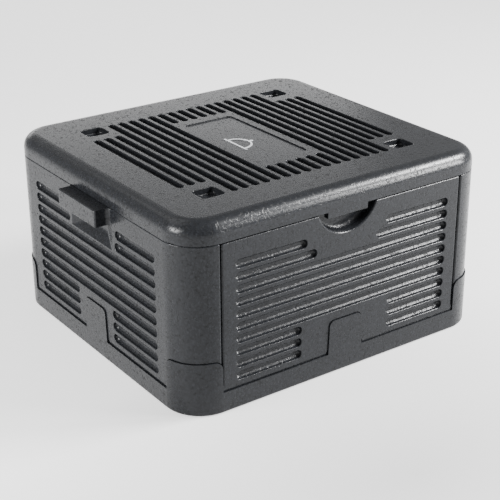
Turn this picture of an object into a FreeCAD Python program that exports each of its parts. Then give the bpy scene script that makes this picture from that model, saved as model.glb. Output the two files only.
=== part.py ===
"""Collapsible insulated food carrier in moulded bead foam, on hinged walls.

Millimetres, +Z up, front towards -Y. The origin is on the ground under the
middle of the box.
"""
import FreeCAD
import Part
import math
import os

# Driving dimensions -------------------------------------------------------
WIDTH = 440.0            # outer size along X, without the two handles
DEPTH = 408.0            # outer size along Y
HEIGHT = 234.0           # ground to the top of the lid
PARTING = 207.0          # height where the lid meets the walls
WALL = 24.0              # wall thickness
CORNER_R = 45.0          # plan radius of the four outer corners
FLOOR = 18.0             # thickness of the tray's floor
LIP_TOP = 26.0           # top of the tray's low outer lip
TRAY_PROUD = 1.5         # the tray stands out this far past the walls
POST_TOP = 66.0          # top of the tray's raised corners
POST_ROUND = 10.0        # rounding of a raised corner's upper end
TAB_TOP = 69.0           # top of the tray's four middle tabs
TAB_HALF_TOP = 23.5      # half the width of a tab at its top
TAB_HALF_ROOT = 26.0     # half the width of a tab at the lip
TAB_THICK = 12.5
TAB_ROUND = 7.0          # rounding of a tab's upper corners
TAB_FOOT = 14.0          # a tab's root reaches this far below the lip
SEAM = 1.0               # gap between neighbouring foam pieces
TONGUE = 8.0             # height of the tongue that the lid drops over

HINGE_Z = FLOOR + WALL / 2
PIN_R = 4.0
PIN_IN_TRAY = 16.0
PIN_IN_WALL = 22.5
PIN_COLLAR_R = 6.5
PIN_COLLAR = 2.0
PIN_CHAMFER = 0.8
PIN_PLAY = 0.05          # radial running clearance of a pin in its bush
BUSH_R = 6.5
BUSH_LONG = 24.0
BUSH_FLANGE_R = 8.5
BUSH_FLANGE = 1.5

LID_ROUND = 17.5         # rounding of the lid's upper edge
LID_PLAY = 0.6           # side gap between the lid's skirt and the tongue
LID_LIFT_GAP = 0.8       # gap over the folding panels and over the tongue
LID_TAB_HALF = 29.0
LID_TAB_DROP = 8.0
LID_TAB_THICK = 7.5
LABEL_HALF = (36.0, 83.0)
LABEL_DEEP = 1.2
LABEL_ROUND = 6.0
POCKET_ROUND = 5.0
POCKET_SIZE = (30.0, 27.0)
POCKET_AT = (140.0, 129.0)
POCKET_DEEP = 8.0

# Grooves: width at the mouth, depth, and the rounding at their bottom.
WALL_GROOVE = (10.6, 5.4, 4.4)
LID_GROOVE = (9.4, 7.2, 3.4)
RIM_ROUND = 0.8          # rounding of a groove's upper rim
WALL_ROWS = 10
WALL_ROW_TOP = 178.0     # height of the uppermost row of wall grooves
WALL_ROW_STEP = 15.3
LID_ROW_STEP = 14.8
LID_ROWS = 22
LID_ROW_END = 142.0      # a long lid row reaches this far along Y
LID_ROW_SHORT = 99.0     # a lid row beside a pocket
LID_ROW_START = 98.0     # a lid row past the label field starts here
FRONT_ROW_END = 156.0    # a wall row reaches this far on the long walls
SIDE_ROW_END = 141.0     # and on the end walls
FRONT_ROW_GAPS = (58.0, 44.0)    # half gaps of the two top rows at the recess
SIDE_ROW_GAPS = (56.0, 54.0)     # half gaps of the two top rows at the handle
FRONT_TAB_GAP = 64.5     # half gap of the three bottom rows at a tab
SIDE_TAB_GAP = 41.0
TAB_ROWS = 3

GRIP_HALF = 44.0         # half the length of a handle block
GRIP_OUT = 18.5
GRIP_BOTTOM = 186.0
GRIP_ROOT_R = 6.0
SCOOP_HALF = 49.0        # half length of the scoop in the wall's face
SCOOP_FLOOR_HALF = 22.0  # half length of its deepest part
SCOOP_LOW = 155.0        # where the scoop starts on the wall's face
SCOOP_DEEP = 10.0
SCOOP_SLOPE = 1.2        # rise of the scoop's ramp for each millimetre of depth

RECESS_R = 45.0          # finger recess at the top of a folding panel
RECESS_BOTTOM = 178.0
RECESS_DEEP = 14.0
RECESS_RIM = 2.0         # soft outer rim of the recess
RECESS_ROOT = 5.0        # rounding where its wall meets its back

EDGE = 1.2               # small rounding of foam edges
SEAM_EDGE = 2.5          # larger rounding along the upright seams
SOFT_EDGE = 2.0          # rounding of tabs, pockets and grip ends
GROUND_EDGE = 3.0        # rounding round the tray's underside
CRADLE_GAP = 0.4         # gap between a hinge foot and its cradle
NOTCH_REACH = 3.0        # a tab's notch passes the wall's face by this much
NOTCH_STOP = 2.5         # and ends this far short of the hinge line
JOIN = 5.0               # overlap of solids that are joined into one
FAR = 300.0              # past the whole box, for cutting regions
OVERCUT = 1.0            # cutters pass a face by this much
NEAR = 2.0               # an edge this close to a feature belongs to it
SLACK = 0.01             # tolerance when edges are picked by place
SEAM_EDGE_MIN = 100.0    # upright seam edges are longer than this
RIM_REACH = 0.95         # share of the lid's flat top that holds groove rims

HALF_W = WIDTH / 2
HALF_D = DEPTH / 2
HALF_T = WALL / 2
AXIS_Y = HALF_D - HALF_T          # the folding panels' hinge lines
AXIS_X = HALF_W - HALF_T          # the end walls' hinge lines
POST_X = HALF_W - CORNER_R        # a raised corner starts here along X
POST_Y = HALF_D - CORNER_R + SEAM
PANEL_HALF = POST_X - SEAM        # half the width of a folding panel
END_HALF = POST_Y - SEAM          # half the width of an end wall at its foot
PANEL_TOP = PARTING - LID_LIFT_GAP

V = FreeCAD.Vector
X_AXIS = V(1, 0, 0)
Y_AXIS = V(0, 1, 0)
Z_AXIS = V(0, 0, 1)


# Small helpers ------------------------------------------------------------
def box(low, high):
    """Block between two opposite corners."""
    size = [b - a for a, b in zip(low, high)]
    return Part.makeBox(size[0], size[1], size[2], V(*low))


def rounded_wire(points, radii):
    """Closed wire through the points, each corner rounded by its radius."""
    edges = []
    starts = []
    ends = []
    count = len(points)
    for i, (corner, radius) in enumerate(zip(points, radii)):
        back = (points[i - 1] - corner).normalize()
        ahead = (points[(i + 1) % count] - corner).normalize()
        if radius == 0:
            starts.append(corner)
            ends.append(corner)
            continue
        half = back.getAngle(ahead) / 2
        reach = radius / math.tan(half)
        middle = (back + ahead).normalize()
        away = radius / math.sin(half) - radius
        start = corner + back * reach
        end = corner + ahead * reach
        edges.append(Part.Arc(start, corner + middle * away, end).toShape())
        starts.append(start)
        ends.append(end)
    for i in range(count):
        start = ends[i]
        end = starts[(i + 1) % count]
        if start.distanceToPoint(end) > 1e-6:
            edges.append(Part.makeLine(start, end))
    return Part.Wire(Part.__sortEdges__(edges))


def quarter_arc(centre, radius, start, end):
    """Arc of a quarter circle between two points."""
    middle = (start - centre) + (end - centre)
    return Part.Arc(start, centre + middle.normalize() * radius, end).toShape()


def prism(points, radii, along):
    """Solid of a rounded outline pushed along a vector."""
    return Part.Face(rounded_wire(points, radii)).extrude(along)


def slab(half_x, half_y, radius, low, high):
    """Upright block on the origin with rounded corners in plan."""
    points = [V(x * half_x, y * half_y, low) for x, y in ((-1, -1), (1, -1), (1, 1), (-1, 1))]
    return prism(points, [radius] * 4, V(0, 0, high - low))


def ring(low, high, outer=0.0, inner=WALL):
    """Upright ring that follows the box, between two offsets from its outside."""
    outside = slab(HALF_W - outer, HALF_D - outer, CORNER_R - outer, low, high)
    inside = slab(HALF_W - inner, HALF_D - inner, CORNER_R - inner, low - OVERCUT, high + OVERCUT)
    return outside.cut(inside)


def round_edges(shape, radius, test):
    """Fillet the edges whose own shape passes the test."""
    edges = [edge for edge in shape.Edges if test(edge)]
    return shape.makeFillet(radius, edges)


def middle_of(edge):
    """Point half-way along an edge."""
    return edge.valueAt((edge.FirstParameter + edge.LastParameter) / 2)


def flat_at(edge, axis, value, slack=SLACK):
    """True where a whole edge lies at one value along X, Y or Z."""
    bounds = edge.BoundBox
    low = (bounds.XMin, bounds.YMin, bounds.ZMin)[axis]
    high = (bounds.XMax, bounds.YMax, bounds.ZMax)[axis]
    return abs(low - value) < slack and abs(high - value) < slack


def turned(shape, quarter_turns):
    """Copy turned about the upright centre line by quarter turns."""
    copy = shape.copy()
    copy.rotate(V(0, 0, 0), Z_AXIS, 90 * quarter_turns)
    return copy


def mirrored(shape, normal):
    """Mirror image through the origin."""
    return shape.mirror(V(0, 0, 0), normal)


def one_solid(shape):
    """The shape as a single cleaned solid."""
    clean = shape.removeSplitter()
    solids = clean.Solids
    if len(solids) != 1:
        raise ValueError("expected one solid, found %d" % len(solids))
    return solids[0]


# Grooves ------------------------------------------------------------------
def groove_cutter(length, profile):
    """Round-ended groove along X, centred, whose mouth lies in the plane Z = 0."""
    width, depth, rounding = profile
    half = length / 2
    wide = width / 2
    corners = [V(-half, -wide, -depth), V(half, -wide, -depth),
               V(half, wide, -depth), V(-half, wide, -depth)]
    body = prism(corners, [wide] * 4, V(0, 0, 2 * depth))
    return round_edges(body, rounding, lambda edge: flat_at(edge, 2, -depth))


def lid_grooves():
    """Cutters of all grooves in the lid, with spans that step round its features."""
    cutters = []
    for i in range(LID_ROWS):
        x = (i - (LID_ROWS - 1) / 2) * LID_ROW_STEP
        if abs(x) > POCKET_AT[0] - POCKET_SIZE[0] / 2:
            spans = [(-LID_ROW_SHORT, LID_ROW_SHORT)]
        elif abs(x) > LABEL_HALF[0] + LID_ROW_STEP / 2:
            spans = [(-LID_ROW_END, LID_ROW_END)]
        else:
            spans = [(-LID_ROW_END, -LID_ROW_START), (LID_ROW_START, LID_ROW_END)]
        for start, end in spans:
            cutter = groove_cutter(end - start, LID_GROOVE)
            cutter.rotate(V(0, 0, 0), Z_AXIS, 90)
            cutter.translate(V(x, (start + end) / 2, HEIGHT))
            cutters.append(cutter)
    return cutters


def is_row_rim(edge, face_axis, face, across_axis):
    """True for the rim of a wall groove: flat in the wall's face, on a row, off the tab."""
    width = WALL_GROOVE[0]
    if not flat_at(edge, face_axis, face) or edge.BoundBox.ZLength > width + 0.1:
        return False
    point = middle_of(edge)
    row = round((WALL_ROW_TOP - point.z) / WALL_ROW_STEP)
    off_row = abs(point.z - (WALL_ROW_TOP - row * WALL_ROW_STEP))
    beside = abs((point.x, point.y)[across_axis])
    by_tab = beside < SIDE_TAB_GAP - JOIN and point.z < TAB_TOP + NEAR
    in_scoop = beside < SCOOP_HALF + NEAR and point.z > SCOOP_LOW - SEAM / 2
    return off_row < width / 2 + SLACK and 0 <= row < WALL_ROWS and not by_tab and not in_scoop


def wall_row_spans(row, reach, top_gaps, tab_gap):
    """Stretches of one wall row, broken by the hand hold above and the tab below."""
    if row < len(top_gaps):
        return [(-reach, -top_gaps[row]), (top_gaps[row], reach)]
    if row >= WALL_ROWS - TAB_ROWS:
        return [(-reach, -tab_gap), (tab_gap, reach)]
    return [(-reach, reach)]


def wall_grooves(reach, top_gaps, tab_gap):
    """Cutters of the rows on a wall that faces -Y, with its face in the plane Y = 0."""
    cutters = []
    for row in range(WALL_ROWS):
        z = WALL_ROW_TOP - row * WALL_ROW_STEP
        for start, end in wall_row_spans(row, reach, top_gaps, tab_gap):
            cutter = groove_cutter(end - start, WALL_GROOVE)
            cutter.rotate(V(0, 0, 0), X_AXIS, 90)
            cutter.translate(V((start + end) / 2, 0, z))
            cutters.append(cutter)
    return cutters


# Shapes shared by the tray and the walls, all drawn for the front side ----
def tab_outline(grow, y):
    """Front view of a tray tab, larger all round by the given gap."""
    foot = LIP_TOP - TAB_FOOT
    return [V(-TAB_HALF_ROOT - grow, y, foot), V(TAB_HALF_ROOT + grow, y, foot),
            V(TAB_HALF_TOP + grow, y, TAB_TOP + grow), V(-TAB_HALF_TOP - grow, y, TAB_TOP + grow)]


def tab_block(grow, reach, face_y, back_y):
    """Tray tab or, with a gap and more reach, the space for it in a wall."""
    top_r = TAB_ROUND + grow
    points = tab_outline(grow, face_y - reach)
    return prism(points, [0, 0, top_r, top_r], V(0, back_y - face_y + 2 * reach, 0))


def post_region(grow):
    """Region of the raised corner at -X, -Y, larger by the given gap."""
    top = POST_TOP + grow
    x_edge = -POST_X + grow
    y_edge = -POST_Y + grow
    far = -FAR + 1
    low = -JOIN
    across = [V(far, -FAR, low), V(x_edge, -FAR, low), V(x_edge, -FAR, top), V(far, -FAR, top)]
    along = [V(-FAR, far, low), V(-FAR, y_edge, low), V(-FAR, y_edge, top), V(-FAR, far, top)]
    rounding = POST_ROUND + grow
    front_view = prism(across, [0, 0, rounding, 0], V(0, FAR, 0))
    side_view = prism(along, [0, 0, rounding, 0], V(FAR, 0, 0))
    return front_view.common(side_view)


def four_corners(shape):
    """A corner shape at -X, -Y and its three mirror images."""
    pair = [shape, mirrored(shape, X_AXIS)]
    return pair + [mirrored(item, Y_AXIS) for item in pair]


# Hinge hardware, drawn for the pin at the front, left end ------------------
def hinge_pin(shoulder, way):
    """Collared pin along X: its collar sits in the tray at the given X."""
    inward = V(way, 0, 0)
    outward = V(-way, 0, 0)
    centre = V(shoulder, 0, 0)
    tip = Part.makeCylinder(PIN_R, SEAM + PIN_IN_WALL, centre, inward)
    root = Part.makeCylinder(PIN_R, PIN_IN_TRAY, centre, outward)
    collar = Part.makeCylinder(PIN_COLLAR_R, PIN_COLLAR, centre, outward)
    shaft = one_solid(tip.fuse(root))
    ends = [shoulder + way * (SEAM + PIN_IN_WALL), shoulder - way * PIN_IN_TRAY]
    shaft = shaft.makeChamfer(PIN_CHAMFER, [e for e in shaft.Edges if any(flat_at(e, 0, x) for x in ends)])
    return one_solid(shaft.fuse(collar))


def hinge_bush(mouth, way):
    """Flanged bush along X: its flange is flush with a wall's edge at the given X."""
    centre = V(mouth, 0, 0)
    inward = V(way, 0, 0)
    sleeve = Part.makeCylinder(BUSH_R, BUSH_LONG, centre, inward)
    flange = Part.makeCylinder(BUSH_FLANGE_R, BUSH_FLANGE, centre, inward)
    bore = Part.makeCylinder(PIN_R + PIN_PLAY, BUSH_LONG + 2 * OVERCUT, centre - inward, inward)
    return one_solid(sleeve.fuse(flange).cut(bore))


def pin_socket(shoulder, way):
    """Space for a pin's collar and root in the tray."""
    centre = V(shoulder, 0, 0)
    outward = V(-way, 0, 0)
    root = Part.makeCylinder(PIN_R, PIN_IN_TRAY, centre, outward)
    chamber = Part.makeCylinder(PIN_COLLAR_R, PIN_COLLAR, centre, outward)
    return root.fuse(chamber)


def bush_socket(mouth, way):
    """Space for a bush in a wall, with an open end for the pin's tip."""
    centre = V(mouth, 0, 0)
    inward = V(way, 0, 0)
    sleeve = Part.makeCylinder(BUSH_R, BUSH_LONG, centre, inward)
    return sleeve.fuse(Part.makeCylinder(BUSH_FLANGE_R, BUSH_FLANGE, centre, inward))


def on_front_hinge(shape):
    """Moves hardware drawn on the X axis to the front panel's hinge line."""
    shape.translate(V(0, -AXIS_Y, HINGE_Z))
    return shape


def on_left_hinge(shape):
    """Moves hardware drawn on the X axis to the left wall's hinge line, along Y."""
    shape.rotate(V(0, 0, 0), Z_AXIS, 90)
    shape.translate(V(-AXIS_X, 0, HINGE_Z))
    return shape


# The tray -----------------------------------------------------------------
def base_tray():
    """Floor with a low lip, four raised corners, four tabs and hinge cradles."""
    out = TRAY_PROUD
    body = slab(HALF_W + out, HALF_D + out, CORNER_R + out, 0, LIP_TOP)
    posts = slab(HALF_W + out, HALF_D + out, CORNER_R + out, 0, POST_TOP)
    for corner in four_corners(post_region(0)):
        body = body.fuse(posts.common(corner))
    inside_x = HALF_W - WALL
    inside_y = HALF_D - WALL
    body = body.cut(slab(inside_x, inside_y, CORNER_R - WALL, FLOOR, PARTING))
    cradle_r = HALF_T + CRADLE_GAP
    front_half = PANEL_HALF + SEAM
    side_half = END_HALF + SEAM
    for way in (-1, 1):
        start = V(-front_half, way * AXIS_Y, HINGE_Z)
        body = body.cut(Part.makeCylinder(cradle_r, 2 * front_half, start, X_AXIS))
        start = V(way * AXIS_X, -side_half, HINGE_Z)
        body = body.cut(Part.makeCylinder(cradle_r, 2 * side_half, start, Y_AXIS))
    low = FLOOR - CRADLE_GAP
    body = body.cut(box((-front_half, -AXIS_Y, low), (front_half, AXIS_Y, PARTING)))
    body = body.cut(box((-AXIS_X, -side_half, low), (AXIS_X, side_half, PARTING)))
    body = one_solid(body)
    face = -HALF_D - out
    tab = tab_block(0, 0, face, face + TAB_THICK)
    tab_side = tab_block(0, 0, -HALF_W - out, -HALF_W - out + TAB_THICK)
    for shape, turn in ((tab, 0), (tab, 2), (tab_side, 1), (tab_side, 3)):
        body = body.fuse(turned(shape, turn))
    for way in (-1, 1):
        socket = on_front_hinge(pin_socket(way * POST_X, -way))
        body = body.cut(socket).cut(mirrored(socket, Y_AXIS))
        socket = on_left_hinge(pin_socket(way * POST_Y, -way))
        body = body.cut(socket).cut(mirrored(socket, X_AXIS))
    body = one_solid(body)
    return round_edges(body, GROUND_EDGE, lambda edge: flat_at(edge, 2, 0))


# The walls ----------------------------------------------------------------
def panel_blank():
    """Front panel with its round foot and tongue, before anything is cut."""
    face = -HALF_D
    plate = box((-PANEL_HALF, face, HINGE_Z), (PANEL_HALF, face + WALL, PANEL_TOP))
    plate = round_edges(plate, SEAM_EDGE,
                        lambda e: flat_at(e, 0, middle_of(e).x) and flat_at(e, 1, face))
    plate = round_edges(plate, EDGE, lambda e: flat_at(e, 1, face) and flat_at(e, 2, PANEL_TOP))
    foot = Part.makeCylinder(HALF_T, 2 * PANEL_HALF, V(-PANEL_HALF, -AXIS_Y, HINGE_Z), X_AXIS)
    tongue = box((-PANEL_HALF, -AXIS_Y, PANEL_TOP - JOIN),
                 (PANEL_HALF, face + WALL, PARTING + TONGUE))
    return one_solid(plate.fuse(foot).fuse(tongue))


def finger_recess():
    """Round-bottomed hollow at the top of a panel, under the lid's tab, with a soft rim."""
    rim = RECESS_RIM
    root = RECESS_ROOT
    face = -HALF_D
    back = face + RECESS_DEEP
    ahead = face - JOIN
    points = [V(0, ahead, 0), V(RECESS_R + rim, ahead, 0), V(RECESS_R + rim, face, 0)]
    edges = [Part.makeLine(points[0], points[1]), Part.makeLine(points[1], points[2])]
    rim_centre = V(RECESS_R + rim, face + rim, 0)
    edges.append(quarter_arc(rim_centre, rim, points[2], V(RECESS_R, face + rim, 0)))
    edges.append(Part.makeLine(V(RECESS_R, face + rim, 0), V(RECESS_R, back - root, 0)))
    root_centre = V(RECESS_R - root, back - root, 0)
    edges.append(quarter_arc(root_centre, root, V(RECESS_R, back - root, 0), V(RECESS_R - root, back, 0)))
    edges.append(Part.makeLine(V(RECESS_R - root, back, 0), V(0, back, 0)))
    edges.append(Part.makeLine(V(0, back, 0), points[0]))
    hollow = Part.Face(Part.Wire(edges)).revolve(V(0, 0, 0), Y_AXIS, 360)
    hollow.translate(V(0, 0, RECESS_BOTTOM + RECESS_R))
    return hollow


def front_panel():
    """Folding long wall with grooves, finger recess and the notch for the tab."""
    body = panel_blank()
    notch = tab_block(SEAM, NOTCH_REACH, -HALF_D, -AXIS_Y - NOTCH_STOP)
    body = body.cut(notch)
    foot_gap = TAB_HALF_ROOT + 1.5 * SEAM
    body = body.cut(box((-foot_gap, -HALF_D - OVERCUT, 0),
                        (foot_gap, -HALF_D + WALL + OVERCUT, HINGE_Z)))
    body = body.cut(finger_recess())
    for way in (-1, 1):
        body = body.cut(on_front_hinge(bush_socket(way * PANEL_HALF, -way)))
    cutters = wall_grooves(FRONT_ROW_END, FRONT_ROW_GAPS, FRONT_TAB_GAP)
    for cutter in cutters:
        cutter.translate(V(0, -HALF_D, 0))
    body = one_solid(body.cut(Part.makeCompound(cutters)))
    return round_edges(body, RIM_ROUND, lambda e: is_row_rim(e, 1, -HALF_D, 0))


def grip_block():
    """Handle block on the left wall, with fillets where its ends meet the wall."""
    face = -HALF_W
    out = face - GRIP_OUT
    flare = GRIP_HALF + GRIP_ROOT_R
    root = face + JOIN
    wide = flare + OVERCUT
    points = [V(root, -wide, GRIP_BOTTOM), V(root, wide, GRIP_BOTTOM),
              V(face, wide, GRIP_BOTTOM), V(face, GRIP_HALF, GRIP_BOTTOM),
              V(out, GRIP_HALF, GRIP_BOTTOM), V(out, -GRIP_HALF, GRIP_BOTTOM),
              V(face, -GRIP_HALF, GRIP_BOTTOM), V(face, -wide, GRIP_BOTTOM)]
    radii = [0, 0, 0, GRIP_ROOT_R, SOFT_EDGE, SOFT_EDGE, GRIP_ROOT_R, 0]
    block = prism(points, radii, V(0, 0, PARTING - GRIP_BOTTOM))
    return round_edges(block, EDGE, lambda e: middle_of(e).x < face - GRIP_ROOT_R
                       and (flat_at(e, 2, PARTING) or flat_at(e, 2, GRIP_BOTTOM)))


def hand_scoop():
    """Hollow with sloping ends under a handle block, for the fingers behind it."""
    face = -HALF_W
    deep = face + SCOOP_DEEP
    lead = JOIN
    end_slope = (SCOOP_HALF - SCOOP_FLOOR_HALF) / SCOOP_DEEP
    mouth = SCOOP_HALF + lead * end_slope
    side = [V(face - lead, -FAR, SCOOP_LOW - lead * SCOOP_SLOPE),
            V(deep, -FAR, SCOOP_LOW + SCOOP_DEEP * SCOOP_SLOPE),
            V(deep, -FAR, GRIP_BOTTOM), V(face - lead, -FAR, GRIP_BOTTOM)]
    plan = [V(face - lead, -mouth, 0), V(deep, -SCOOP_FLOOR_HALF, 0),
            V(deep, SCOOP_FLOOR_HALF, 0), V(face - lead, mouth, 0)]
    ramp = prism(side, [0, SCOOP_DEEP, 0, 0], V(0, 2 * FAR, 0))
    hollow = ramp.common(prism(plan, [0, SCOOP_DEEP, SCOOP_DEEP, 0], V(0, 0, FAR)))
    return round_edges(hollow, GRIP_ROOT_R, is_scoop_corner)


def is_scoop_corner(edge):
    """True for the slanting edge between the scoop's ramp and one of its ends."""
    bounds = edge.BoundBox
    return bounds.ZLength > NEAR and bounds.YLength > NEAR and middle_of(edge).z < GRIP_BOTTOM - NEAR


def left_end_wall():
    """End wall with both corner returns, handle, grooves and hinge foot."""
    side = box((-FAR, -FAR, 0), (-POST_X, FAR, FAR))
    body = ring(HINGE_Z, PARTING).common(side)
    body = round_edges(body, EDGE, lambda e: flat_at(e, 2, PARTING) and edge_on_outside(e))
    body = round_edges(body, SEAM_EDGE, lambda e: flat_at(e, 0, -POST_X)
                       and abs(abs(middle_of(e).y) - HALF_D) < 0.1 and e.Length > SEAM_EDGE_MIN)
    tongue = ring(PARTING - JOIN, PARTING + TONGUE, HALF_T, WALL).common(side)
    foot = Part.makeCylinder(HALF_T, 2 * END_HALF, V(-AXIS_X, -END_HALF, HINGE_Z), Y_AXIS)
    body = body.fuse(tongue).fuse(foot)
    corner = post_region(SEAM)
    body = body.cut(corner).cut(mirrored(corner, Y_AXIS))
    notch = tab_block(SEAM, NOTCH_REACH, -HALF_W, -AXIS_X - NOTCH_STOP)
    foot_gap = TAB_HALF_ROOT + 1.5 * SEAM
    body = body.cut(turned(notch, 3))
    body = body.cut(box((-HALF_W - OVERCUT, -foot_gap, 0),
                        (-HALF_W + WALL + OVERCUT, foot_gap, HINGE_Z)))
    body = body.fuse(grip_block()).cut(hand_scoop())
    for way in (-1, 1):
        body = body.cut(on_left_hinge(bush_socket(way * END_HALF, -way)))
    cutters = wall_grooves(SIDE_ROW_END, SIDE_ROW_GAPS, SIDE_TAB_GAP)
    for cutter in cutters:
        cutter.translate(V(0, -HALF_W, 0))
    rows = turned(Part.makeCompound(cutters), 3)
    body = one_solid(body.cut(rows))
    return round_edges(body, RIM_ROUND, lambda e: is_row_rim(e, 0, -HALF_W, 1))


def edge_on_outside(edge):
    """True for an edge on the outside face of the walls' ring."""
    point = middle_of(edge)
    over_x = max(abs(point.x) - (HALF_W - CORNER_R), 0)
    over_y = max(abs(point.y) - (HALF_D - CORNER_R), 0)
    return abs(math.hypot(over_x, over_y) - CORNER_R) < 0.5


# The lid ------------------------------------------------------------------
def is_lid_rim(edge):
    """True for the rim of a lid groove or pocket, not the label field or the outer edge."""
    point = middle_of(edge)
    outer = max(abs(point.x) / (HALF_W - LID_ROUND), abs(point.y) / (HALF_D - LID_ROUND))
    in_label = abs(point.x) < LABEL_HALF[0] + 0.1 and abs(point.y) < LABEL_HALF[1] + 0.1
    return outer < RIM_REACH and not in_label


def lid_tab():
    """Finger tab that hangs from the lid's front edge over the panel's recess."""
    face = -HALF_D
    low = PARTING - LID_TAB_DROP
    block = box((-LID_TAB_HALF, face, low), (LID_TAB_HALF, face + LID_TAB_THICK, PARTING + JOIN))
    return round_edges(block, SOFT_EDGE, lambda e: flat_at(e, 2, low))


def stacking_pocket():
    """Cutter of the pocket at +X, +Y that locates the box stacked on top."""
    half_x = POCKET_SIZE[0] / 2
    half_y = POCKET_SIZE[1] / 2
    hollow = slab(half_x, half_y, POCKET_ROUND, HEIGHT - POCKET_DEEP, HEIGHT + JOIN)
    hollow = round_edges(hollow, SOFT_EDGE, lambda e: flat_at(e, 2, HEIGHT - POCKET_DEEP))
    hollow.translate(V(POCKET_AT[0], POCKET_AT[1], 0))
    return hollow


def lid():
    """Lid with a skirt round the tongue, grooves, label field and pockets."""
    body = slab(HALF_W, HALF_D, CORNER_R, PARTING, HEIGHT)
    body = round_edges(body, LID_ROUND, lambda e: flat_at(e, 2, HEIGHT))
    body = round_edges(body, EDGE, lambda e: flat_at(e, 2, PARTING))
    inset = HALF_T - LID_PLAY
    room_top = PARTING + TONGUE + LID_LIFT_GAP
    room = slab(HALF_W - inset, HALF_D - inset, CORNER_R - inset, PARTING - OVERCUT, room_top)
    body = body.cut(room)
    tab = lid_tab()
    body = body.fuse(tab).fuse(mirrored(tab, Y_AXIS))
    label = slab(LABEL_HALF[0], LABEL_HALF[1], LABEL_ROUND, HEIGHT - LABEL_DEEP, HEIGHT + JOIN)
    body = body.cut(label)
    cutters = four_corners(stacking_pocket()) + lid_grooves()
    body = one_solid(body.cut(Part.makeCompound(cutters)))
    return round_edges(body, RIM_ROUND, lambda e: flat_at(e, 2, HEIGHT) and is_lid_rim(e))


# Everything together --------------------------------------------------------
def hinge_parts():
    """Pins and bushes of all eight hinge points, by node name."""
    parts = {}
    for way, end in ((-1, "left"), (1, "right")):
        pin = on_front_hinge(hinge_pin(way * POST_X, -way))
        bush = on_front_hinge(hinge_bush(way * PANEL_HALF, -way))
        parts["front_panel_pin_" + end] = pin
        parts["back_panel_pin_" + end] = mirrored(pin, Y_AXIS)
        parts["front_panel_bush_" + end] = bush
        parts["back_panel_bush_" + end] = mirrored(bush, Y_AXIS)
    for way, end in ((-1, "front"), (1, "back")):
        pin = on_left_hinge(hinge_pin(way * POST_Y, -way))
        bush = on_left_hinge(hinge_bush(way * END_HALF, -way))
        parts["left_wall_pin_" + end] = pin
        parts["right_wall_pin_" + end] = mirrored(pin, X_AXIS)
        parts["left_wall_bush_" + end] = bush
        parts["right_wall_bush_" + end] = mirrored(bush, X_AXIS)
    return parts


def all_parts():
    """Every node of the carrier, by name."""
    panel = front_panel()
    end_wall = left_end_wall()
    parts = {
        "base_tray": base_tray(),
        "front_panel": panel,
        "back_panel": mirrored(panel, Y_AXIS),
        "left_end_wall": end_wall,
        "right_end_wall": mirrored(end_wall, X_AXIS),
        "lid": lid(),
    }
    parts.update(hinge_parts())
    return parts


def main():
    os.makedirs("parts", exist_ok=True)
    for name, shape in all_parts().items():
        if not shape.isValid():
            raise ValueError(name + " is not a valid solid")
        shape.exportStep(os.path.join("parts", name + ".step"))
        print("%-24s %10.0f mm3  faces %d" % (name, shape.Volume, len(shape.Faces)))


main()
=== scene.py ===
"""Finish, lid sign and studio for a hinged food carrier in moulded bead foam.

Metres, +Z up, front towards -Y, as in the frame.
"""
import math

import bmesh
import bpy
from mathutils import Matrix, Quaternion, Vector


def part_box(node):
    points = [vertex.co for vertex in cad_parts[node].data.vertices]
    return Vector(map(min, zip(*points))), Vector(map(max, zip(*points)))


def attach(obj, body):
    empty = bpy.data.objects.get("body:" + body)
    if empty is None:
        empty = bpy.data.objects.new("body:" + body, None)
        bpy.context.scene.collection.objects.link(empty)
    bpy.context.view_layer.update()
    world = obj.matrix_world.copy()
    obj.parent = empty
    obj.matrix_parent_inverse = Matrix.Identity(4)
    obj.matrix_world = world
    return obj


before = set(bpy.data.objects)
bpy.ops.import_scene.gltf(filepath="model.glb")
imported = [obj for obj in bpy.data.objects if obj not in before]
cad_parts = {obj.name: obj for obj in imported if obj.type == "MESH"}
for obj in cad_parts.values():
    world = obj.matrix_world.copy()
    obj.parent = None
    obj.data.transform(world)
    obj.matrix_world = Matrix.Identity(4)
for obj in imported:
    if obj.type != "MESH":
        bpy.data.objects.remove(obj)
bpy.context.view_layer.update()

bl_info = {
    "name": "Food Carrier",
    "version": (1, 0, 0),
    "blender": (4, 5, 0),
    "location": "3D View > Sidebar > Carrier",
    "description": "Foam and hinge finishes, lid sign and studio for a hinged food carrier",
    "category": "Object",
}

LID_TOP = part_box("lid")[1].z
WHITE = (1.0, 1.0, 1.0, 1.0)


# Shader building -------------------------------------------------------------
NOISE_ROUGHNESS = 0.6      # how much the finer layers of a noise count
CELL_RANDOMNESS = 0.9      # 0 is a square grid of cells


class Value:
    """A number inside a material; arithmetic on it adds Math nodes."""

    def __init__(self, shader, socket):
        self.shader = shader
        self.socket = socket

    def math(self, operation, first, second):
        return self.shader.node("ShaderNodeMath", {"operation": operation},
                                {0: first, 1: second}, "Value")

    def __add__(self, other):
        return self.math("ADD", self, other)

    def __radd__(self, other):
        return self.math("ADD", other, self)

    def __sub__(self, other):
        return self.math("SUBTRACT", self, other)

    def __rsub__(self, other):
        return self.math("SUBTRACT", other, self)

    def __mul__(self, other):
        return self.math("MULTIPLY", self, other)

    def __rmul__(self, other):
        return self.math("MULTIPLY", other, self)


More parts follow.
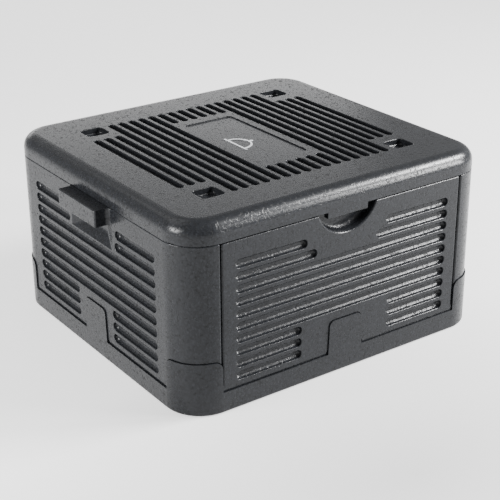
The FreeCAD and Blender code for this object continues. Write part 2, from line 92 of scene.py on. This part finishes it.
class Shader:
    """One material and its nodes."""

    def __init__(self, name):
        self.material = bpy.data.materials.new(name)
        self.material.use_nodes = True
        self.tree = self.material.node_tree
        self.tree.nodes.clear()

    def node(self, kind, settings, inputs, output):
        """Adds a node, with its settings first and then its inputs, and gives one output."""
        node = self.tree.nodes.new(kind)
        for key, value in settings.items():
            if key == "stops":
                self.set_stops(node.color_ramp, value)
            else:
                setattr(node, key, value)
        for key, value in inputs.items():
            if isinstance(value, Value):
                self.tree.links.new(value.socket, node.inputs[key])
            else:
                node.inputs[key].default_value = value
        return Value(self, node.outputs[output])

    @staticmethod
    def set_stops(ramp, stops):
        """Gives a colour ramp its grey stops as (position, level)."""
        while len(ramp.elements) < len(stops):
            ramp.elements.new(1.0)
        for element, (position, level) in zip(ramp.elements, stops):
            element.position = position
            element.color = (level, level, level, 1.0)

    def place(self, shift, scale=(1.0, 1.0, 1.0)):
        """Object coordinates, scaled and then moved by a shift in metres."""
        at = self.node("ShaderNodeTexCoord", {}, {}, "Object")
        inputs = {"Vector": at, "Location": shift, "Scale": scale}
        return self.node("ShaderNodeMapping", {}, inputs, "Vector")

    def noise(self, place, size, detail):
        """Soft noise with features of the given size in metres, 0 to 1."""
        inputs = {"Vector": place, "Scale": 1 / size, "Detail": detail,
                  "Roughness": NOISE_ROUGHNESS}
        return self.node("ShaderNodeTexNoise", {}, inputs, "Fac")

    def above(self, low, high):
        """0 below one height on the object, 1 above the other."""
        at = self.node("ShaderNodeTexCoord", {}, {}, "Object")
        height = self.node("ShaderNodeSeparateXYZ", {}, {"Vector": at}, "Z")
        inputs = {"Value": height, "From Min": low, "From Max": high}
        return self.node("ShaderNodeMapRange", {}, inputs, "Result")

    def cells(self, place, size, feature, output):
        """Round cells of the given size in metres."""
        inputs = {"Vector": place, "Scale": 1 / size, "Randomness": CELL_RANDOMNESS}
        return self.node("ShaderNodeTexVoronoi", {"feature": feature}, inputs, output)

    def curve(self, value, stops):
        """Sends 0..1 through grey stops."""
        return self.node("ShaderNodeValToRGB", {"stops": stops}, {"Fac": value}, "Color")

    def blend(self, amount, low, high):
        """Mixes two colours by an amount."""
        settings = {"data_type": "RGBA"}
        return self.node("ShaderNodeMix", settings, {0: amount, 6: low, 7: high}, 2)

    def bump(self, height, distance):
        """Normal from a height of 0..1 that stands for a distance in metres."""
        inputs = {"Height": height, "Distance": distance, "Strength": 1.0}
        return self.node("ShaderNodeBump", {}, inputs, "Normal")

    def finish(self, **inputs):
        """Adds the surface itself and gives the material."""
        named = {key.replace("_", " "): value for key, value in inputs.items()}
        surface = self.node("ShaderNodeBsdfPrincipled", {}, named, "BSDF")
        end = self.tree.nodes.new("ShaderNodeOutputMaterial")
        self.tree.links.new(surface.socket, end.inputs["Surface"])
        return self.material


def tinted(colour, factor):
    """A colour made lighter or darker, with full alpha."""
    return tuple(min(level * factor, 1.0) for level in colour) + (1.0,)


def dress(name, material):
    """Gives a frame node one material."""
    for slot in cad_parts[name].material_slots:
        slot.material = material


# Settings --------------------------------------------------------------------
class FoamSettings(bpy.types.PropertyGroup):
    """The bead foam of the tray, walls and lid."""

    colour: bpy.props.FloatVectorProperty(
        name="Colour", description="Colour of the foam skin",
        subtype="COLOR", size=3, min=0, max=1, default=(0.0080, 0.0086, 0.0100))
    bead: bpy.props.FloatProperty(
        name="Bead size", description="Width of one expanded bead",
        unit="LENGTH", default=0.0034, min=0.001, max=0.01)
    grain: bpy.props.FloatProperty(
        name="Grain size", description="Width of the spark-eroded grain from the mould",
        unit="LENGTH", default=0.0016, min=0.0002, max=0.004)
    relief: bpy.props.FloatProperty(
        name="Relief", description="Depth of the pits between the beads",
        unit="LENGTH", default=0.00008, min=0, max=0.001)
    roughness: bpy.props.FloatProperty(
        name="Roughness", description="Roughness of the foam skin",
        subtype="FACTOR", default=0.27, min=0, max=1)
    # Sparkle also sets how strongly the glossy facets are painted lighter, as painted
    # glints.
    sparkle: bpy.props.FloatProperty(
        name="Sparkle", description="Share of small glossy facets in the grain",
        subtype="FACTOR", default=0.36, min=0, max=1)


class HingeSettings(bpy.types.PropertyGroup):
    """The moulded hinge pins and bushes."""

    pin_colour: bpy.props.FloatVectorProperty(
        name="Pin colour", description="Colour of the nylon pins",
        subtype="COLOR", size=3, min=0, max=1, default=(0.030, 0.030, 0.032))
    pin_roughness: bpy.props.FloatProperty(
        name="Pin roughness", description="Roughness of the nylon pins",
        subtype="FACTOR", default=0.48, min=0, max=1)
    bush_colour: bpy.props.FloatVectorProperty(
        name="Bush colour", description="Colour of the acetal bushes",
        subtype="COLOR", size=3, min=0, max=1, default=(0.55, 0.55, 0.54))
    bush_roughness: bpy.props.FloatProperty(
        name="Bush roughness", description="Roughness of the acetal bushes",
        subtype="FACTOR", default=0.28, min=0, max=1)


class SignSettings(bpy.types.PropertyGroup):
    """The small covered-dish sign on the lid."""

    place: bpy.props.FloatVectorProperty(
        name="Place", description="Middle of the sign on the lid",
        subtype="XYZ", unit="LENGTH", size=2, default=(-0.012, -0.012))
    width: bpy.props.FloatProperty(
        name="Width", description="Length of the sign's base line",
        unit="LENGTH", default=0.048, min=0.01, max=0.07)
    line: bpy.props.FloatProperty(
        name="Line", description="Width of the sign's lines",
        unit="LENGTH", default=0.0023, min=0.001, max=0.005)
    height: bpy.props.FloatProperty(
        name="Height", description="How far the sign stands up from the label field",
        unit="LENGTH", default=0.0005, min=0.0001, max=0.001)
    colour: bpy.props.FloatVectorProperty(
        name="Colour", description="Colour of the printed sign",
        subtype="COLOR", size=3, min=0, max=1, default=(0.42, 0.43, 0.44))


class StudioSettings(bpy.types.PropertyGroup):
    """Camera, floor and soft lights."""

    aim: bpy.props.FloatVectorProperty(
        name="Aim", description="Point that the camera looks at",
        subtype="XYZ", unit="LENGTH", size=3, default=(0.00792, 0.0, 0.0786))
    turn: bpy.props.FloatProperty(
        name="Turn", description="Camera's angle to the left of the front",
        subtype="ANGLE", default=math.radians(35.375))
    rise: bpy.props.FloatProperty(
        name="Rise", description="Camera's angle above the floor",
        subtype="ANGLE", default=math.radians(24.104))
    roll: bpy.props.FloatProperty(
        name="Roll", description="Camera's turn about its own axis",
        subtype="ANGLE", default=math.radians(-0.258))
    distance: bpy.props.FloatProperty(
        name="Distance", description="Distance from the camera to its aim",
        unit="LENGTH", default=1.6211, min=0.5)
    lens: bpy.props.FloatProperty(
        name="Lens", description="Focal length on a sensor 36 mm wide",
        unit="CAMERA", default=89.87, min=10)
    floor_colour: bpy.props.FloatVectorProperty(
        name="Floor colour", description="Colour of the plain floor",
        subtype="COLOR", size=3, min=0, max=1, default=(0.40, 0.40, 0.40))
    fill: bpy.props.FloatProperty(
        name="Fill", description="Strength of the light from all round",
        default=0.60, min=0)
    glow: bpy.props.FloatProperty(
        name="Glow", description="Light given off by the floor itself",
        default=1.25, min=0)


SETTINGS = {
    "carrier_foam": FoamSettings,
    "carrier_hinges": HingeSettings,
    "carrier_sign": SignSettings,
    "carrier_studio": StudioSettings,
}


# Foam finish -----------------------------------------------------------------
# Node and the foam that it is moulded from.
FOAM_NODES = {
    "base_tray": "tray",
    "front_panel": "wall",
    "back_panel": "wall",
    "left_end_wall": "wall",
    "right_end_wall": "wall",
    "lid": "lid",
}

# Foam, where its pattern starts in metres, and its shade against the others.
FOAMS = {
    "tray": ((0.013, 0.007, 0.011), 0.94),
    "wall": ((0.031, 0.019, 0.023), 1.0),
    "lid": ((0.047, 0.029, 0.041), 1.04),
}

SKIN_GLOSS = 0.20                 # reflectance of the foam's melted skin
CLOUD_SIZE = 0.045                # width of the soft lighter and darker areas
SMOOTH_FROM = LID_TOP - 0.006     # from this height the skin gets smoother
SMOOTH_AT = LID_TOP - 0.0005      # up to the lid's flat top
SMOOTHING = 0.80                  # share of the texture that the flat top loses

# Where each pattern starts and is full, as grey stops.
SEAM_STOPS = [(0.0, 0.0), (0.12, 1.0)]
PIT_STOPS = [(0.66, 0.0), (0.78, 1.0)]
GLINT_STOPS = [(0.66, 0.0), (0.80, 1.0)]

# Share of each pattern in the colour, the roughness and the relief.
IN_COLOUR = {"bead": 0.30, "cloud": 0.34, "grain": 0.36}
IN_ROUGHNESS = {"bead": 0.06, "grain": 0.08, "glint": 0.20, "pit": 0.2}
IN_RELIEF = {"seam": 0.12, "bead": 0.08, "grain": 0.10, "glint": 0.10}

# Darkest and lightest skin, painted shade in the pits and painted glints on the glossy
# facets, against the foam's colour.
DARK_SKIN, LIGHT_SKIN = 0.45, 1.55
# Painted shade in the pits between the beads.
PIT_PAINTED_SHADE = 0.25
PIT_COVER = 0.7                   # how fully a pit takes its painted shade
# Painted glints: the glossy facets are painted this much lighter than the foam.
PAINTED_GLINT_SHADE = 3.0


def foam_material(name, settings, shift, shade):
    """Moulded bead foam: faint bead outlines, pits between beads darkened with painted
    shade, glossy grain with painted glints.
    """
    shader = Shader(name)
    texture = 1.0 - SMOOTHING * shader.above(SMOOTH_FROM, SMOOTH_AT)
    place = shader.place(shift)
    outline = shader.cells(place, settings.bead, "DISTANCE_TO_EDGE", "Distance")
    seam = shader.curve(outline, SEAM_STOPS)
    corner = shader.cells(place, settings.bead, "F1", "Distance")
    pit = shader.curve(corner, PIT_STOPS)
    bead = shader.cells(place, settings.bead, "F1", "Color")
    cloud = shader.noise(place, CLOUD_SIZE, detail=2.0)
    grain = shader.noise(place, settings.grain, detail=2.0)
    facet = shader.cells(place, settings.grain, "F1", "Color")
    glint = shader.curve(facet, GLINT_STOPS)

    def skin(factor):
        return tinted(settings.colour, factor * shade)

    level = (IN_COLOUR["bead"] * bead + IN_COLOUR["cloud"] * cloud
             + IN_COLOUR["grain"] * grain * texture)
    colour = shader.blend(level, skin(DARK_SKIN), skin(LIGHT_SKIN))
    # Painted shade: the pits between the beads are painted darker.
    colour = shader.blend(pit * PIT_COVER, colour, skin(PIT_PAINTED_SHADE))
    # Painted glints: the glossy facets are painted lighter, standing in for sparkling
    # highlights.
    colour = shader.blend(glint * texture * settings.sparkle, colour, skin(PAINTED_GLINT_SHADE))
    roughness = (settings.roughness
                 + IN_ROUGHNESS["bead"] * (bead - 0.5) * texture
                 + IN_ROUGHNESS["grain"] * (grain - 0.5) * texture
                 - IN_ROUGHNESS["glint"] * settings.sparkle * glint * texture
                 + IN_ROUGHNESS["pit"] * pit)
    height = (IN_RELIEF["seam"] * seam + IN_RELIEF["bead"] * bead
              + IN_RELIEF["grain"] * grain + IN_RELIEF["glint"] * glint - pit) * texture
    return shader.finish(Base_Color=colour, Roughness=roughness,
                         Specular_IOR_Level=SKIN_GLOSS,
                         Normal=shader.bump(height, settings.relief))


class CARRIER_OT_foam(bpy.types.Operator):
    """Give the tray, walls and lid their bead foam"""

    bl_idname = "carrier.foam"
    bl_label = "Foam finish"

    def execute(self, context):
        settings = context.scene.carrier_foam
        foams = {kind: foam_material(f"{kind}_bead_foam", settings, shift, shade)
                 for kind, (shift, shade) in FOAMS.items()}
        for node, kind in FOAM_NODES.items():
            dress(node, foams[kind])
        return {"FINISHED"}


# Hinge finish ----------------------------------------------------------------
SCUFF_SIZE = 0.0006        # width of the fine scuffs
SCUFF_DEPTH = 0.00003
SCUFF_ROUGHNESS = 0.18     # how far the scuffs change the roughness
STREAK_SHADES = (0.8, 1.2)
PIN_STREAK = 0.004         # width of the flow streaks in the pins
BUSH_STREAK = 0.006        # and in the bushes


def moulded_material(name, colour, roughness, streak):
    """Injection-moulded plastic with faint flow streaks and fine scuffs."""
    shader = Shader(name)
    place = shader.place((0.0, 0.0, 0.0))
    cloud = shader.noise(place, streak, detail=3.0)
    scuff = shader.noise(place, SCUFF_SIZE, detail=2.0)
    dark, light = STREAK_SHADES
    shade = shader.blend(cloud, tinted(colour, dark), tinted(colour, light))
    return shader.finish(Base_Color=shade,
                         Roughness=roughness + SCUFF_ROUGHNESS * (scuff - 0.5),
                         Normal=shader.bump(scuff, SCUFF_DEPTH))


class CARRIER_OT_hinges(bpy.types.Operator):
    """Give the hinge pins and bushes their moulded plastics"""

    bl_idname = "carrier.hinges"
    bl_label = "Hinge finish"

    def execute(self, context):
        settings = context.scene.carrier_hinges
        pin = moulded_material("pin_nylon", settings.pin_colour,
                               settings.pin_roughness, PIN_STREAK)
        bush = moulded_material("bush_acetal", settings.bush_colour,
                                settings.bush_roughness, BUSH_STREAK)
        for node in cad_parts:
            if "_pin_" in node:
                dress(node, pin)
            elif "_bush_" in node:
                dress(node, bush)
        return {"FINISHED"}


# Lid sign --------------------------------------------------------------------
LABEL_DEPTH = 0.0012       # the label field lies this far below the lid's top

# Parts of the sign, against its width.
DOME_RADIUS = 0.40
MIDDLE = 0.2               # its middle lies this far above the base line

# Parts of the sign, against the width of its lines.
DOME_LIFT = 0.9
KNOB_LIFT = 1.9
KNOB_RADIUS = 0.95

SPECK_SIZE = 0.0012        # width of the grains in the print
SPECK_DEPTH = 0.00006
SPECK_STOPS = [(0.35, 0.0), (0.62, 1.0)]
SPECK_SHADES = (0.45, 1.35)
PRINT_ROUGHNESS = 0.42     # of the dull grains
PRINT_GLOSS = 0.15         # how much smoother the bright grains are
PRINT_METAL = 0.35         # and how metallic


def sign_material(name, colour):
    """Silvery print with a broken, sparkling grain."""
    shader = Shader(name)
    place = shader.place((0.0, 0.0, 0.0))
    speck = shader.noise(place, SPECK_SIZE, detail=3.0)
    level = shader.curve(speck, SPECK_STOPS)
    dark, light = SPECK_SHADES
    shade = shader.blend(level, tinted(colour, dark), tinted(colour, light))
    return shader.finish(Base_Color=shade, Roughness=PRINT_ROUGHNESS - PRINT_GLOSS * level,
                         Metallic=PRINT_METAL * level,
                         Normal=shader.bump(level, SPECK_DEPTH))


def rounded_bar(mesh, length, width):
    """Flat bar along X with round ends, as one face: a circle pulled apart."""
    made = bmesh.ops.create_circle(mesh, cap_ends=True, segments=24, radius=width / 2)
    for vert in made["verts"]:
        if abs(vert.co.x) > 1e-9:
            vert.co.x += math.copysign((length - width) / 2, vert.co.x)


def ring_half(mesh, outer, inner):
    """Flat upper half of a ring, spun from its own width."""
    ends = [mesh.verts.new((radius, 0.0, 0.0)) for radius in (inner, outer)]
    edge = mesh.edges.new(ends)
    bmesh.ops.spin(mesh, geom=[*ends, edge], cent=(0, 0, 0), axis=(0, 0, 1),
                   angle=math.pi, steps=32, use_duplicate=False)


def sign_object(settings):
    """Covered dish drawn in raised lines, its knob towards the right-hand end."""
    mesh = bmesh.new()
    width = settings.width
    line = settings.line
    dome = width * DOME_RADIUS
    ring_half(mesh, dome, dome - line)
    bmesh.ops.translate(mesh, verts=mesh.verts[:], vec=(0, line * DOME_LIFT, 0))
    rounded_bar(mesh, width, line)
    knob = Matrix.Translation((0, dome + line * KNOB_LIFT, 0))
    bmesh.ops.create_circle(mesh, cap_ends=True, segments=20, radius=line * KNOB_RADIUS,
                            matrix=knob)
    bmesh.ops.recalc_face_normals(mesh, faces=mesh.faces[:])
    for face in mesh.faces:
        if face.normal.z < 0:
            face.normal_flip()
    raised = bmesh.ops.extrude_face_region(mesh, geom=mesh.faces[:])
    tops = [item for item in raised["geom"] if isinstance(item, bmesh.types.BMVert)]
    bmesh.ops.translate(mesh, verts=tops, vec=(0, 0, settings.height))
    bmesh.ops.recalc_face_normals(mesh, faces=mesh.faces[:])
    bmesh.ops.rotate(mesh, verts=mesh.verts[:], cent=(0, 0, 0),
                     matrix=Matrix.Rotation(math.radians(-90), 3, "Z"))
    shift = (settings.place[0] - width * MIDDLE, settings.place[1], LID_TOP - LABEL_DEPTH)
    bmesh.ops.translate(mesh, verts=mesh.verts[:], vec=shift)
    data = bpy.data.meshes.new("lid_sign")
    mesh.to_mesh(data)
    mesh.free()
    sign = bpy.data.objects.new("lid_sign", data)
    bpy.context.collection.objects.link(sign)
    return sign


class CARRIER_OT_sign(bpy.types.Operator):
    """Add the covered-dish sign in the lid's label field"""

    bl_idname = "carrier.sign"
    bl_label = "Lid sign"

    def execute(self, context):
        settings = context.scene.carrier_sign
        sign = sign_object(settings)
        sign.data.materials.append(sign_material("sign_print", settings.colour))
        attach(sign, "lid")
        return {"FINISHED"}


# Studio ----------------------------------------------------------------------
# Name, place, what it faces, width, length, power in watts.
LIGHTS = [
    ("overhead_softbox", (-0.9, 1.1, 2.2), (-0.2, 0.2, 0.0), 2.0, 1.6, 20.0),
    ("back_softbox", (0.74, 2.10, 0.62), (0.0, 0.2, 0.2), 2.0, 0.5, 10.0),
    ("left_softbox", (-1.25, 0.02, 0.55), (-0.42, -0.06, 0.0), 0.55, 0.40, 30.0),
    ("key_softbox", (1.56, -0.78, 1.50), (0.1, -0.2, 0.2), 0.66, 0.42, 180.0),
    ("front_right_softbox", (1.68, -1.74, 0.95), (0.1, -0.2, 0.15), 0.50, 0.85, 110.0),
]

SENSOR = 36.0              # mm
FLOOR_RADIUS = 12.0
FLOOR_ROUGHNESS = 0.85
FLOOR_CLOUD = 0.8          # width of the floor's faint lighter and darker areas
FLOOR_SHADES = (0.99, 1.01)
SHADOW_PATCH_AT = (-0.08, -0.42)    # middle of the painted shadow, a dimmer patch in the floor's glow before the carrier
SHADOW_PATCH_SIZE = (0.62, 0.34)    # its half sizes
SHADOW_PATCH_GLOW = 0.10           # its glow, against 1 elsewhere


def camera_object(settings):
    """Camera at its angle round the aim, slightly rolled."""
    back = Vector((-math.sin(settings.turn) * math.cos(settings.rise),
                   -math.cos(settings.turn) * math.cos(settings.rise),
                   math.sin(settings.rise)))
    data = bpy.data.cameras.new("camera")
    data.lens = settings.lens
    data.sensor_width = SENSOR
    camera = bpy.data.objects.new("camera", data)
    camera.rotation_mode = "QUATERNION"
    camera.location = Vector(settings.aim) + back * settings.distance
    level = (-back).to_track_quat("-Z", "Y")
    camera.rotation_quaternion = level @ Quaternion((0, 0, 1), settings.roll)
    return camera


def light_object(name, place, target, width, length, power):
    """Rectangular softbox that faces a point."""
    data = bpy.data.lights.new(name, "AREA")
    data.shape = "RECTANGLE"
    data.size = width
    data.size_y = length
    data.energy = power
    light = bpy.data.objects.new(name, data)
    light.visible_camera = False
    light.location = place
    way = Vector(target) - Vector(place)
    light.rotation_mode = "QUATERNION"
    light.rotation_quaternion = way.to_track_quat("-Z", "Y")
    return light


def floor_object(settings):
    """Plain round floor that glows, with a painted shadow before the carrier where its glow
    is dimmer.
    """
    mesh = bmesh.new()
    bmesh.ops.create_circle(mesh, cap_ends=True, segments=96, radius=FLOOR_RADIUS)
    data = bpy.data.meshes.new("floor")
    mesh.to_mesh(data)
    mesh.free()
    shader = Shader("studio_floor")
    place = shader.place((0.0, 0.0, 0.0))
    cloud = shader.noise(place, FLOOR_CLOUD, detail=1.0)
    dark, light = FLOOR_SHADES
    shade = shader.blend(cloud, tinted(settings.floor_colour, dark),
                         tinted(settings.floor_colour, light))
    wide, deep = SHADOW_PATCH_SIZE
    shadow_place = shader.place((-SHADOW_PATCH_AT[0] / wide, -SHADOW_PATCH_AT[1] / deep, 0.0),
                             (1 / wide, 1 / deep, 1.0))
    # Painted shadow: the floor's glow is dimmed in a soft patch before the carrier.
    in_shadow = shader.node("ShaderNodeTexGradient", {"gradient_type": "SPHERICAL"},
                       {"Vector": shadow_place}, "Fac")
    glow = shader.blend(in_shadow, WHITE, tinted(WHITE[:3], SHADOW_PATCH_GLOW))
    data.materials.append(shader.finish(
        Base_Color=shade, Roughness=FLOOR_ROUGHNESS,
        Emission_Color=glow, Emission_Strength=settings.glow))
    return bpy.data.objects.new("floor", data)


def room_light(strength):
    """Plain white light from all round."""
    world = bpy.data.worlds.new("studio")
    world.use_nodes = True
    background = world.node_tree.nodes["Background"]
    background.inputs["Color"].default_value = WHITE
    background.inputs["Strength"].default_value = strength
    return world


class CARRIER_OT_studio(bpy.types.Operator):
    """Add the camera, the floor and the lights"""

    bl_idname = "carrier.studio"
    bl_label = "Studio"

    def execute(self, context):
        scene = context.scene
        settings = scene.carrier_studio
        camera = camera_object(settings)
        floor = floor_object(settings)
        lights = [light_object(*light) for light in LIGHTS]
        for item in (camera, floor, *lights):
            scene.collection.objects.link(item)
        scene.camera = camera
        scene.world = room_light(settings.fill)
        return {"FINISHED"}


# Add-on ----------------------------------------------------------------------
OPERATORS = [CARRIER_OT_studio, CARRIER_OT_foam, CARRIER_OT_hinges, CARRIER_OT_sign]


class CARRIER_PT_sidebar(bpy.types.Panel):
    """Lists the carrier's operators"""

    bl_idname = "CARRIER_PT_sidebar"
    bl_label = "Food Carrier"
    bl_space_type = "VIEW_3D"
    bl_region_type = "UI"
    bl_category = "Carrier"

    def draw(self, context):
        for operator in OPERATORS:
            self.layout.operator(operator.bl_idname)
        for group in SETTINGS:
            box = self.layout.box()
            settings = getattr(context.scene, group)
            for name in settings.bl_rna.properties.keys():
                if name not in ("rna_type", "name"):
                    box.prop(settings, name)


def register():
    for group, settings in SETTINGS.items():
        bpy.utils.register_class(settings)
        setattr(bpy.types.Scene, group, bpy.props.PointerProperty(type=settings))
    for item in (*OPERATORS, CARRIER_PT_sidebar):
        bpy.utils.register_class(item)


def unregister():
    for item in (CARRIER_PT_sidebar, *reversed(OPERATORS)):
        bpy.utils.unregister_class(item)
    for group, settings in SETTINGS.items():
        delattr(bpy.types.Scene, group)
        bpy.utils.unregister_class(settings)


def main():
    register()
    bpy.ops.carrier.studio()
    bpy.ops.carrier.foam()
    bpy.ops.carrier.hinges()
    bpy.ops.carrier.sign()


if __name__ == "__main__":
    main()
